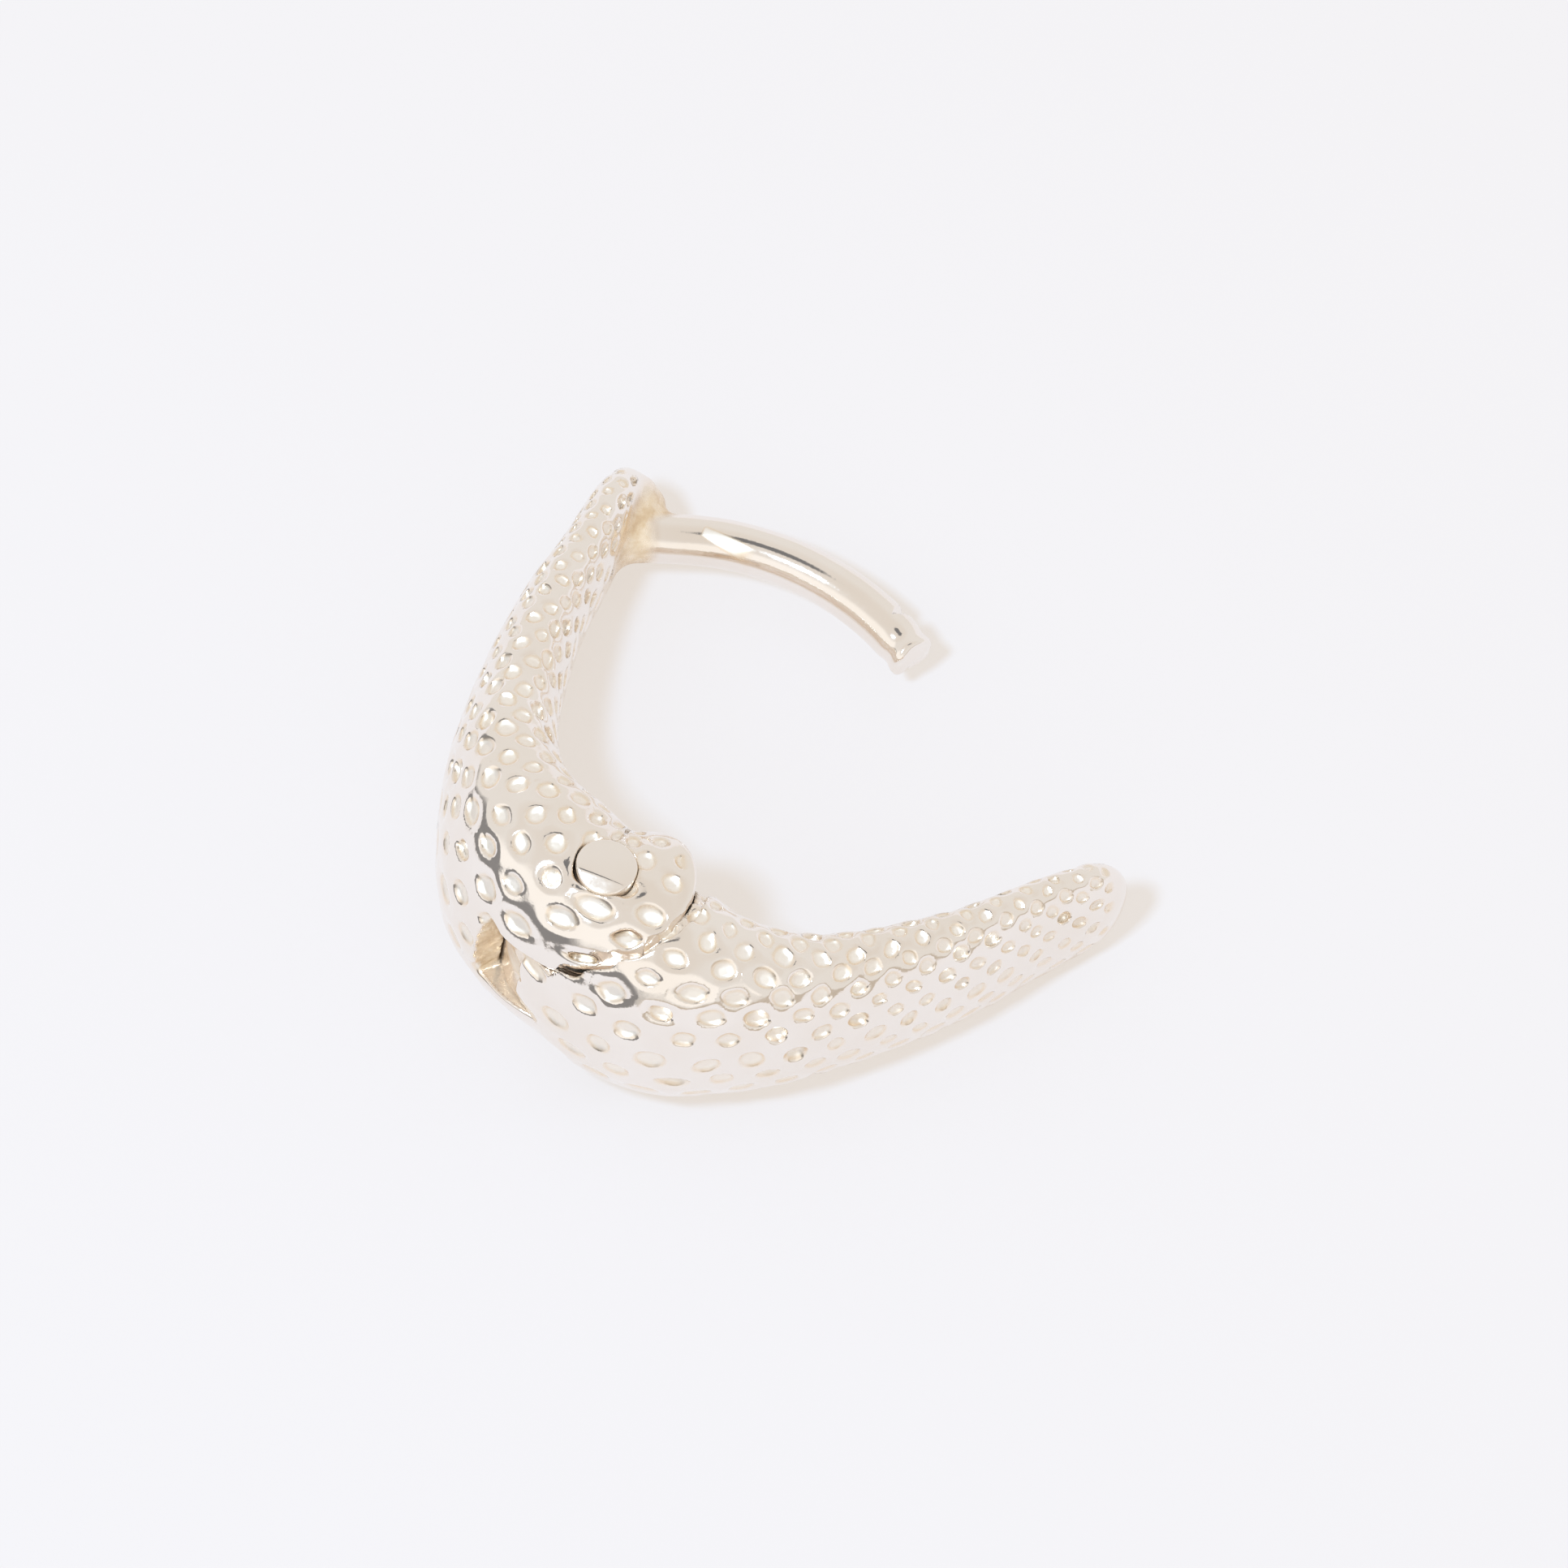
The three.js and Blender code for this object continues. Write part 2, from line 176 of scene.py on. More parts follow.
class ArmLine:
    """Turns places in the hoop's plane into a length along the arm and a distance across it."""

    LOW, HIGH, STEP = np.array((-5.2, -3.4)), np.array((6.6, 14.4)), 0.05
    SAMPLES, SPACING, BEYOND_TIP = 1600, 0.02, 2.0

    def __init__(self):
        last = len(ARM_SECTIONS) - 1
        place = np.linspace(0, last, self.SAMPLES)
        row = np.minimum(place.astype(int), last - 1)
        t = (place - row)[:, None]
        before, start, end, after = (ARM_SECTIONS[np.clip(row + k, 0, last)] for k in (-1, 0, 1, 2))
        pull, push, gain = (end - before) / 2, (after - start) / 2, end - start
        rows = start + t * (pull + t * (3 * gain - 2 * pull - push + t * (pull + push - 2 * gain)))
        length = np.concatenate(([0], np.cumsum(np.hypot(*np.diff(rows[:, :2], axis=0).T))))
        length -= np.interp(HINGE_ROW, place, length)
        self.start, self.end = length[0], length[-1]
        self.length = np.arange(self.start, self.end, self.SPACING)
        self.rows = np.stack([np.interp(self.length, length, column) for column in rows.T], axis=1)
        self.extend(self.BEYOND_TIP)
        self.map_plane()

    def extend(self, more):
        """Runs the line straight on past the tip."""
        way = self.rows[-1, :2] - self.rows[-6, :2]
        steps = np.arange(1, int(more / self.SPACING))
        run = self.rows[-1] + 0 * steps[:, None]
        run[:, :2] += steps[:, None] * self.SPACING * way / np.linalg.norm(way)
        self.rows = np.vstack((self.rows, run))
        self.length = np.concatenate((self.length, self.length[-1] + self.SPACING * steps))

    def map_plane(self):
        """Works out length and distance once for a grid of places."""
        tangent = np.gradient(self.rows[:, :2], self.length, axis=0)
        tangent /= np.linalg.norm(tangent, axis=1)[:, None]
        count = np.ceil((self.HIGH - self.LOW) / self.STEP).astype(int) + 1
        axes = [self.LOW[k] + self.STEP * np.arange(count[k]) for k in (0, 1)]
        side, rise = np.meshgrid(*axes, indexing="ij")
        places = np.stack((side.ravel(), rise.ravel()), axis=1)
        along, across = np.empty(len(places)), np.empty(len(places))
        for part in np.array_split(np.arange(len(places)), 40):
            gap = places[part, None, :] - self.rows[None, :, :2]
            best = np.argmin((gap ** 2).sum(-1), axis=1)
            off = places[part] - self.rows[best, :2]
            way = tangent[best]
            along[part] = self.length[best] + (off * way).sum(-1)
            across[part] = off[:, 1] * way[:, 0] - off[:, 0] * way[:, 1]
        self.maps = np.stack((along, across)).reshape(2, *count)

    def around(self, side, rise):
        """Length along, distance across (inwards positive), half width and half height."""
        u = np.clip((side - self.LOW[0]) / self.STEP, 0, self.maps.shape[1] - 1.001)
        v = np.clip((rise - self.LOW[1]) / self.STEP, 0, self.maps.shape[2] - 1.001)
        i, j = u.astype(int), v.astype(int)
        u, v = u - i, v - j
        low = self.maps[:, i, j] * (1 - v) + self.maps[:, i, j + 1] * v
        high = self.maps[:, i + 1, j] * (1 - v) + self.maps[:, i + 1, j + 1] * v
        along, across = low * (1 - u) + high * u
        width = np.interp(along, self.length, self.rows[:, 2])
        height = np.interp(along, self.length, self.rows[:, 3])
        return along, across, width, height


LINE = ArmLine()


def ease(value, start, end):
    """Rises from 0 to 1 between start and end."""
    t = np.clip((value - start) / (end - start), 0, 1)
    return t * t * (3 - 2 * t)


def arm_skin(p, plain):
    """Distance to the dimpled arm and the dimples' bottoms. plain gives the share of smooth skin."""
    along, across, width, height = LINE.around(p[0], p[1])
    tip = np.maximum(0, along - LINE.end + TIP_ROUNDING) / TIP_ROUNDING
    a, z = np.abs(across) / width, np.abs(p[2]) / height
    total = np.maximum(a ** FULLNESS + z ** FULLNESS + tip ** 2, 1e-6)
    size = total ** (1 / FULLNESS)
    steep = np.sqrt((a ** (FULLNESS - 1) / width) ** 2 + (z ** (FULLNESS - 1) / height) ** 2
                    + (tip / TIP_ROUNDING) ** 2)
    slope = np.maximum(steep * size ** (1 - FULLNESS), 0.2)
    pressed, bottom = dimples(p, along, across, width, height)
    rough = 1 - plain(p, along)
    return (size - 1) / slope + pressed * rough, bottom * rough


def dimples(p, along, across, width, height):
    """How far the dimples press the skin in, and where their bottoms are."""
    ends = (LINE.start, LINE.end)
    pitch = np.interp(along, ends, DIMPLE_PITCH)
    drop = (DIMPLE_PITCH[1] - DIMPLE_PITCH[0]) / (ends[1] - ends[0])
    beat = np.log(pitch / DIMPLE_PITCH[0]) / drop
    half = FULLNESS / 2
    angle = np.arctan2(np.sign(p[2]) * (np.abs(p[2]) / height) ** half,
                       np.sign(across) * (np.abs(across) / width) ** half)
    reach = np.hypot(width * np.sin(angle), height * np.cos(angle))
    lane_turn = 2 * math.pi / DIMPLE_LANES
    nearest = np.round(angle / lane_turn)
    depth, bottom = np.zeros_like(along), np.zeros_like(along)
    for shift in (-1, 0, 1):
        lane = nearest + shift
        wrapped = np.mod(lane, DIMPLE_LANES)
        stagger = 0.5 * np.mod(wrapped, 2)
        spot = np.round(beat - stagger)
        stray = [scatter(spot, wrapped, salt) - 0.5 for salt in range(6)]
        off_along = (beat - stagger - spot - DIMPLE_STRAY["along"] * stray[0]) * pitch
        off_round = (angle - lane_turn * (lane + DIMPLE_STRAY["round"] * stray[1])) * reach
        radius = np.interp(along, ends, DIMPLE_RADIUS) * (1 + DIMPLE_STRAY["radius"] * stray[2])
        radius = np.minimum(radius, DIMPLE_LANE_SHARE * lane_turn * reach)
        turn, oval = DIMPLE_STRAY["turn"] * stray[5], DIMPLE_STRAY["oval"] * stray[3]
        u = np.abs(off_along * np.cos(turn) + off_round * np.sin(turn)) * (1 + oval) / radius
        v = np.abs(off_round * np.cos(turn) - off_along * np.sin(turn)) * (1 - oval) / radius
        corner = 2.0 + DIMPLE_STRAY["corner"] * stray[4]
        out = (u ** corner + v ** corner) ** (1 / corner)
        bowl = BOWL_SHARE * (1 - ease(out, *BOWL_EDGE)) + SKIRT_SHARE * (1 - ease(out, *SKIRT_EDGE))
        depth += DIMPLE_SINK * radius * bowl * (1 + DIMPLE_DEEPER * scatter(spot, wrapped, 9) ** 4)
        bottom = np.maximum(bottom, 1 - ease(out, *BOTTOM_EDGE))
    return depth, bottom


# The two arms as fields. p holds side, rise and z in the arm's own frame, in mm.

def post_place(p):
    """Length along the post from its root and distance from its centre line, for the post arm's frame."""
    turn = math.radians(-POST_ARM_TURN)
    x, y = -p[0], p[1]
    x, y = x * math.cos(turn) + y * math.sin(turn), y * math.cos(turn) - x * math.sin(turn)
    middle = math.radians(POST_ARC_CENTRE[1])
    x, y = x - POST_ARC_CENTRE[0] * math.cos(middle), y - POST_ARC_CENTRE[0] * math.sin(middle)
    angle = np.degrees(np.arctan2(y, x))
    ring = np.hypot(x, y)
    along = np.radians(POST_ANGLES[0] - angle) * POST_ARC_RADIUS
    return along, ring - POST_ARC_RADIUS, p[2]


POST_LENGTH = math.radians(POST_ANGLES[0] - POST_ANGLES[1]) * POST_ARC_RADIUS


def post_field(p):
    """The wire post with its solder, worn ring and notch."""
    along, out, up = post_place(p)
    flare = (1 - ease(along, SOLDER_START, SOLDER_LENGTH)) ** SOLDER_HOLLOW
    solder = np.hypot(out - SOLDER_SHIFT * flare, up) - POST_RADIUS - SOLDER_SPREAD * flare
    solder += flare * wave(p, "solder")
    wire = join(np.hypot(out, up) - POST_RADIUS, solder, EDGE["solder"]) + wave(p, "wire")
    wire += NECK_DEPTH * np.exp(-((along - POST_LENGTH + NECK_BACK) / NECK_HALF) ** 2)
    end = both(wire, along - POST_LENGTH + POST_END_WEAR + wave(p, "post_end"), POST_END_ROUNDING)
    slanted = np.maximum(SOLDER_START, SOLDER_LEAN * out - SOLDER_BACK)
    start = both(end, slanted - along, EDGE["solder_start"])
    lean = NOTCH_OUT * out + NOTCH_UP * up
    nick = np.abs(along - POST_LENGTH + NOTCH_BACK) - NOTCH_HALF
    nick = nick + NOTCH_FLARE * (POST_RADIUS - lean - NOTCH_FLARE_FROM)
    post = cut(start, np.maximum(nick, POST_RADIUS - NOTCH_DEPTH - lean), EDGE["notch"])
    off = ((along - PAD_PLACE[0]) / PAD_SIZE[0], (out - PAD_PLACE[1]) / PAD_SIZE[1], up / PAD_SIZE[2])
    pad = (np.sqrt(off[0] ** 2 + off[1] ** 2 + off[2] ** 2) - 1) * PAD_SIZE[0]
    return join(post, pad + wave(p, "pad"), EDGE["pad"])


def post_arm_plain(p, along):
    """Smooth skin at the tip, around the post's root and along the ears' rims."""
    gone, out, up = post_place(p)
    past = np.maximum(0, np.abs(gone - ROOT_PLAIN_ALONG) - ROOT_PLAIN_ALONG)
    near_post = np.hypot(past, np.hypot(out - ROOT_PLAIN_OUT, up)) < ROOT_PLAIN
    inner = near_post & (along > ROOT_PLAIN_FROM)
    ear_rim = ease(np.hypot(p[0], p[1]), EAR_RADIUS - EAR_RIM[0], EAR_RADIUS - EAR_RIM[1])
    ear_rim = ear_rim * ease(p[0], *EAR_RIM_SIDE)
    return np.where((along > LINE.end - TIP_PLAIN) | inner, 1.0, ear_rim)


def catch_arm_plain(p, along):
    """Smooth skin at the tip."""
    return ease(along, LINE.end - CATCH_TIP_PLAIN[0], LINE.end - CATCH_TIP_PLAIN[1])


def post_arm_field(p):
    """The arm with its fork, slot and bore, and the post."""
    side, rise, z = p
    skin = arm_skin(p, post_arm_plain)[0] + wave(p, "post_skin")
    ring = np.hypot(side, rise)
    skin = both(skin, np.minimum(EAR_START - side, ring - EAR_RADIUS), EDGE["ear"])
    rough = wave(p, "slot_grain") + wave(p, "slot")
    web = side - SLOT_ROOT + SLOT_SLOPE * np.maximum(0, rise - SLOT_SLOPE_FROM)
    sweep = TONGUE_SWEEP + TONGUE_CORNER * (1 - ease(side, *TONGUE_CORNER_SIDE))
    slot = both(np.abs(z) - SLOT_HALF, np.minimum(web, ring - sweep) + rough, EDGE["slot"])
    skin = cut(skin, slot, EDGE["slot_rim"])
    spread = (PIN_HEAD - PIN_RADIUS) * ease(np.abs(z), HEAD_FROM, HEAD_FULL)
    bore = np.hypot(side - BORE_SHIFT[0], rise - BORE_SHIFT[1]) - BORE_RADIUS
    bore = bore - spread - wave(p, "bore")
    skin = cut(skin, bore, EDGE["bore_rim"])
    return join(skin, post_field(p), EDGE["post_root"])


def catch_hole(p):
    """The hole that takes the post's end once the arm has turned shut."""
    turn = math.radians(CATCH_ARM_TURN + CLOSING_ANGLE)
    middle, end = math.radians(POST_ARC_CENTRE[1]), math.radians(POST_ANGLES[1])
    x = POST_ARC_CENTRE[0] * math.cos(middle) + POST_ARC_RADIUS * math.cos(end)
    y = POST_ARC_CENTRE[0] * math.sin(middle) + POST_ARC_RADIUS * math.sin(end)
    way = (math.sin(end), -math.cos(end))
    c, s = math.cos(-turn), math.sin(-turn)
    x, y = x * c - y * s, x * s + y * c
    way = (way[0] * c - way[1] * s, way[0] * s + way[1] * c)
    off = (p[0] - x, p[1] - y)
    deep = off[0] * way[0] + off[1] * way[1]
    wide = np.hypot(off[0] * way[1] - off[1] * way[0], p[2]) - CATCH_HOLE_RADIUS
    return both(wide, np.maximum(deep - CATCH_HOLE_SINK, -CATCH_HOLE_LENGTH - deep), EDGE["hole"])


def catch_arm_field(p):
    """The arm with its tongue, seats, bore and catch hole."""
    side, rise, z = p
    skin = arm_skin(p, catch_arm_plain)[0] + wave(p, "catch_skin")
    ring = np.hypot(side, rise)
    seat = np.hypot(side - SEAT_CENTRE[0], rise - SEAT_CENTRE[1]) - SEAT_RADIUS
    seat = np.minimum(seat + wave(p, "seat"), side - SHOULDER_CUT)
    deep = both(seat, np.where(rise > 0, ring - SEAT_INNER, -1), EDGE["seat"])
    sunk = LEDGE_DROP * (ease(rise, *LEDGE_RISE) - 2) + wave(p, "ledge")
    ledge = both(seat, sunk - skin, EDGE["seat"])
    hollow = both(np.minimum(deep, ledge), TONGUE_HALF - np.abs(z), EDGE["seat_floor"])
    skin = cut(skin, hollow, EDGE["seat_rim"])
    past = both(side - TONGUE_START, TONGUE_RADIUS - ring, EDGE["tongue"])
    skin = cut(skin, past, EDGE["tongue_rim"])
    skin = cut(skin, ring - BORE_RADIUS, EDGE["tongue_bore"])
    return cut(skin, catch_hole(p), EDGE["hole_rim"])


# Meshing a field

def fine_values(field, low, count, step):
    """The field on a grid, worked out in full only close to its surface."""
    coarse, margin, batch = 4, 0.22, 300000
    few = [-(-n // coarse) for n in count]
    axes = [low[k] + step * (coarse * np.arange(few[k]) + (coarse - 1) / 2) for k in range(3)]
    first = field(np.stack([g.ravel() for g in np.meshgrid(*axes, indexing="ij")])).reshape(few)
    for k in range(3):
        first = np.repeat(first, coarse, axis=k)
    values = first[:count[0], :count[1], :count[2]].astype(np.float32)
    near = np.flatnonzero(np.abs(values) < step * coarse + margin)
    flat = values.ravel()
    for part in np.array_split(near, max(1, len(near) // batch)):
        places = np.unravel_index(part, values.shape)
        flat[part] = field(np.stack([low[k] + step * places[k] for k in range(3)]))
    return flat.reshape(values.shape)


def surface_net(values, low, step):
    """Points and quads of the zero surface: one point in each cell that the surface crosses."""
    inside = values < 0
    corners = [(i, j, k) for i in (0, 1) for j in (0, 1) for k in (0, 1)]
    n = np.array(values.shape)

    def shifted(grid, c):
        return grid[c[0]:n[0] - 1 + c[0], c[1]:n[1] - 1 + c[1], c[2]:n[2] - 1 + c[2]]

    held = sum(shifted(inside, c).astype(np.uint8) for c in corners)
    cells = np.argwhere((held > 0) & (held < 8))
    number = np.full(n - 1, -1, dtype=np.int32)
    number[tuple(cells.T)] = np.arange(len(cells))
    total, hits = np.zeros((len(cells), 3)), np.zeros(len(cells))
    for c in corners:
        for k in range(3):
            if c[k]:
                continue
            d = list(c)
            d[k] = 1
            a = values[tuple((cells + c).T)].astype(float)
            b = values[tuple((cells + d).T)].astype(float)
            crossed = (a < 0) != (b < 0)
            share = np.where(crossed, a / np.where(crossed, a - b, 1), 0)
            total += crossed[:, None] * (np.array(c) + share[:, None] * np.eye(3)[k])
            hits += crossed
    points = low + step * (cells + total / hits[:, None])
    quads = []
    for k in range(3):
        u, v = (k + 1) % 3, (k + 2) % 3
        lead = np.swapaxes(inside, 0, k)
        change = np.argwhere(np.swapaxes(lead[1:] != lead[:-1], 0, k))
        at_u, at_v = change[:, u], change[:, v]
        change = change[(at_u > 0) & (at_v > 0) & (at_u < n[u] - 1) & (at_v < n[v] - 1)]
        ring = []
        for du, dv in ((-1, -1), (0, -1), (0, 0), (-1, 0)):
            cell = change.copy()
            cell[:, u] += du
            cell[:, v] += dv
            ring.append(number[tuple(cell.T)])
        ring = np.stack(ring, axis=1)
        outward = inside[tuple(change.T)]
        quads.append(np.where(outward[:, None], ring, ring[:, ::-1]))
    return points, np.concatenate(quads)


def gradient(field, points, reach=0.012):
    """The field's slope at each point."""
    slopes = []
    for k in range(3):
        shift = np.zeros((3, 1))
        shift[k] = reach
        slopes.append((field(points.T + shift) - field(points.T - shift)) / (2 * reach))
    return np.stack(slopes, axis=1)


def meshed(field, low, high, step):
    """Points, quads and normals of a field's surface, with the points moved onto it."""
    count = np.ceil((np.array(high) - low) / step).astype(int) + 1
    points, quads = surface_net(fine_values(field, low, count, step), np.array(low), step)
    for _ in range(2):
        slope = gradient(field, points)
        move = field(points.T)[:, None] * slope / np.maximum((slope ** 2).sum(1), 0.2)[:, None]
        points = points - np.clip(move, -step / 2, step / 2)
    slope = gradient(field, points)
    return points, quads, slope / np.maximum(np.linalg.norm(slope, axis=1), 1e-9)[:, None]


# Placing the pieces on the frame

JOINT = frame["joints"][0]
PIN_PLACE = Vector(JOINT["pos_m"])
PIN_WAY = Vector(JOINT["axis"]).normalized()
LEAN = Vector((0, 0, 1)).rotation_difference(PIN_WAY).to_matrix()


def to_world(points, hand, turn):
    """Points or directions of an arm's frame, turned as the arm lies, from the pin's middle."""
    c, s = math.cos(math.radians(turn)), math.sin(math.radians(turn))
    x, y, z = hand * points[:, 0], points[:, 1], points[:, 2]
    flat = np.stack((x * c - y * s, x * s + y * c, z), axis=1)
    return flat @ np.array(LEAN).T


def piece(name, points, faces, normals, hand, turn, material, body, node):
    """A mesh that rides on a body of the frame and replaces a node."""
    mesh = bpy.data.meshes.new(name)
    if hand < 0:
        faces = faces[:, ::-1]
    placed = to_world(points, hand, turn) * MM + np.array(PIN_PLACE)
    mesh.from_pydata(placed.tolist(), [], faces.tolist())
    mesh.polygons.foreach_set("use_smooth", np.ones(len(faces), dtype=bool))
    mesh.update()
    mesh.normals_split_custom_set_from_vertices(to_world(normals, hand, turn).tolist())
    mesh.materials.append(material)
    made = bpy.data.objects.new(name, mesh)
    bpy.context.scene.collection.objects.link(made)
    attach(made, body)
    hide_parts(node)
    return made


def mark(made, name, values):
    """A number for each point, which a material reads."""
    layer = made.data.attributes.new(name, "FLOAT", "POINT")
    layer.data.foreach_set("value", np.clip(values, 0, 1).astype(np.float32))


# Materials

class Nodes:
    """Short calls for building a material's nodes."""

    def __init__(self, name):
        self.material = bpy.data.materials.new(name)
        self.material.use_nodes = True
        self.tree = self.material.node_tree
        self.shader = self.tree.nodes["Principled BSDF"]

    def add(self, kind, inputs=None, **settings):
        node = self.tree.nodes.new(kind)
        for key, value in settings.items():
            setattr(node, key, value)
        for key, value in (inputs or {}).items():
            self.put(node.inputs[key], value)
        return node

    def put(self, socket, value):
        if isinstance(value, bpy.types.NodeSocket):
            self.tree.links.new(value, socket)
        else:
            socket.default_value = value

    def noise(self, where, scale, detail=3.0, roughness=0.55):
        node = self.add("ShaderNodeTexNoise", {"Vector": where, "Scale": scale, "Detail": detail,
                                               "Roughness": roughness})
        return node.outputs["Fac"]

    def span(self, value, low, high, to_low, to_high):
        node = self.add("ShaderNodeMapRange", {"Value": value, "From Min": low, "From Max": high,
                                               "To Min": to_low, "To Max": to_high})
        return node.outputs["Result"]

    def blend(self, share, first, second):
        node = self.add("ShaderNodeMix", data_type="RGBA")
        self.put(node.inputs["Factor"], share)
        self.put(node.inputs["A"], first)
        self.put(node.inputs["B"], second)
        return node.outputs["Result"]

    def times(self, first, second, kind="MULTIPLY"):
        return self.add("ShaderNodeMath", {0: first, 1: second}, operation=kind).outputs["Value"]


SILVER_PALE = (0.93, 0.88, 0.835, 1)
SILVER_WARM = (0.90, 0.835, 0.77, 1)
SILVER_DULL = (0.94, 0.88, 0.80, 1)
TARNISH_BROWN = (0.62, 0.44, 0.27, 1)
# the tarnish's gold, which also paints shade in a ring along the dimples' rims
TARNISH_AND_RIM_SHADE_GOLD = (0.87, 0.69, 0.47, 1)


def silver(name, duller=0.0):
    """Worn silver with dull dimples, painted shade in a gold ring along the dimples' rims, and with tarnish
    where the mesh is marked for it.
    """
    n = Nodes(name)
    where = n.add("ShaderNodeTexCoord").outputs["Object"]
    cloud = n.noise(where, 420.0)
    stain = n.noise(where, 1500.0, 5.0, 0.65)
    speck = n.noise(where, 5200.0, 4.0, 0.6)
    drawn = n.add("ShaderNodeMapping", {"Vector": where, "Scale": (900.0, 9000.0, 2400.0),
                                        "Rotation": (0.3, 0.2, 0.6)}).outputs["Vector"]
    scratch = n.noise(drawn, 1.0, 4.0, 0.7)
    clean = n.blend(n.span(cloud, 0.35, 0.7, 0.0, 1.0), SILVER_PALE, SILVER_WARM)
    mark_here = n.add("ShaderNodeAttribute", attribute_name="tarnish").outputs["Fac"]
    patchy = n.times(mark_here, n.span(stain, 0.3, 0.7, 0.55, 1.25))
    toned = n.blend(n.span(stain, 0.35, 0.65, 0.0, 1.0), TARNISH_AND_RIM_SHADE_GOLD, TARNISH_BROWN)
    hollow = n.add("ShaderNodeAttribute", attribute_name="dimple").outputs["Fac"]
    dull = n.times(hollow, n.span(stain, 0.3, 0.7, 0.35, 0.9))
    # painted shade: a gold ring on the dimples' walls, where they turn into the skin
    edge = n.times(hollow, n.span(hollow, 0.0, 1.0, 1.0, 0.0))
    painted_rim_shade = n.times(edge, n.span(stain, 0.3, 0.7, 0.6, 2.6))
    clean = n.blend(painted_rim_shade, n.blend(dull, clean, SILVER_DULL), TARNISH_AND_RIM_SHADE_GOLD)
    n.put(n.shader.inputs["Base Color"], n.blend(patchy, clean, toned))
    n.put(n.shader.inputs["Metallic"], n.span(patchy, 0.2, 1.0, 1.0, 0.2))
    shine = n.span(speck, 0.3, 0.75, 0.055 + duller, 0.11 + duller)
    shine = n.times(shine, n.span(hollow, 0.0, 1.0, 0.0, 0.40), "ADD")
    n.put(n.shader.inputs["Roughness"], n.times(shine, n.span(patchy, 0.0, 1.0, 0.0, 0.26), "ADD"))
    relief = n.times(n.times(scratch, 0.35), speck, "ADD")
    deeper = n.times(relief, n.span(patchy, 0.0, 1.0, 1.0, 4.0))
    bump = n.add("ShaderNodeBump", {"Height": deeper, "Strength": 0.22, "Distance": 0.000012})
    n.put(n.shader.inputs["Normal"], bump.outputs["Normal"])
    return n.material


FLOOR_LOW, FLOOR_HIGH = (0.198, 0.225, 0.27, 1), (0.205, 0.232, 0.278, 1)
FLOOR_GLOW = (1.0, 0.894, 0.79, 1)  # the surface is lit from below as well


def floor_material():
    """A pale matt surface."""
    n = Nodes("pale_surface")
    where = n.add("ShaderNodeTexCoord").outputs["Object"]
    grain = n.noise(where, 60.0)
    n.put(n.shader.inputs["Base Color"], n.blend(grain, FLOOR_LOW, FLOOR_HIGH))
    n.put(n.shader.inputs["Roughness"], 0.8)
    n.put(n.shader.inputs["Specular IOR Level"], 0.1)
    n.put(n.shader.inputs["Emission Color"], FLOOR_GLOW)
    n.put(n.shader.inputs["Emission Strength"], 0.65)
    return n.material


# The pieces

STAIN_FADE, SLOT_STAIN_FADE = 0.1, 0.15
STAIN_PAST = {"slot": 0.10, "bore": 0.16, "tongue": 0.05, "tongue_end": 0.12, "seat": 0.08}  # past the edge
STAIN_SHARE = {"root": 0.95, "tongue": 0.45, "seat": 0.3, "hole": 0.8, "pin": 0.7}
SLOT_STAIN_DEPTH, SLOT_STAIN_TOP = (0.03, 0.12), 4
ROOT_STAIN_AT, ROOT_STAIN_RADIUS, ROOT_STAIN_EDGE = 0.3, 0.75, (0.1, 0.6)
ROOT_STAIN_REACH, ROOT_STAIN_MORE, ROOT_STAIN_OUT = 0.45, 0.75, 0.6  # it reaches further towards the tip
ROOT_STAIN_START, ROOT_STAIN_END = (0.1, 0.5), 2.2
PIN_STAIN_BELOW = 0.13


def within(value, edge, fade=STAIN_FADE):
    """1 well inside the edge, 0 from the edge on."""
    return np.clip((edge - value) / fade, 0, 1)


def tarnish_post_arm(p):
    """Tarnish in the slot, in the bore and on the solder."""
    side, rise, z = p.T
    along, out, up = post_place(p.T)
    below_skin = ease(-arm_skin(p.T, post_arm_plain)[0], *SLOT_STAIN_DEPTH)
    slot = below_skin * within(np.abs(z), SLOT_HALF + STAIN_PAST["slot"], SLOT_STAIN_FADE)
    slot = slot * (rise < SLOT_STAIN_TOP)
    bore = within(np.hypot(side, rise), BORE_RADIUS + STAIN_PAST["bore"])
    reach = ROOT_STAIN_REACH + ROOT_STAIN_MORE * ease(out, 0, ROOT_STAIN_OUT)
    beside = np.maximum(0, np.hypot(out - ROOT_STAIN_AT, up) - ROOT_STAIN_RADIUS)
    root = 1 - ease(np.hypot(beside, np.maximum(0, along - reach)), *ROOT_STAIN_EDGE)
    root *= ease(along - SOLDER_LEAN * out + SOLDER_BACK, *ROOT_STAIN_START)
    return np.maximum.reduce((slot, bore, STAIN_SHARE["root"] * root * (along < ROOT_STAIN_END)))


def tarnish_catch_arm(p):
    """Tarnish on the tongue, in the seats and in the catch hole."""
    side, rise, z = p.T
    tongue = within(np.abs(z), TONGUE_HALF + STAIN_PAST["tongue"])
    tongue = tongue * (np.hypot(side, rise) < TONGUE_RADIUS + STAIN_PAST["tongue_end"])
    seat = np.hypot(side - SEAT_CENTRE[0], rise - SEAT_CENTRE[1])
    seat = within(seat, SEAT_RADIUS + STAIN_PAST["seat"]) * (side > 0)
    hole = within(catch_hole(p.T), STAIN_FADE)
    stains = {"tongue": tongue, "seat": seat, "hole": hole}
    return np.maximum.reduce([STAIN_SHARE[kind] * stain for kind, stain in stains.items()])


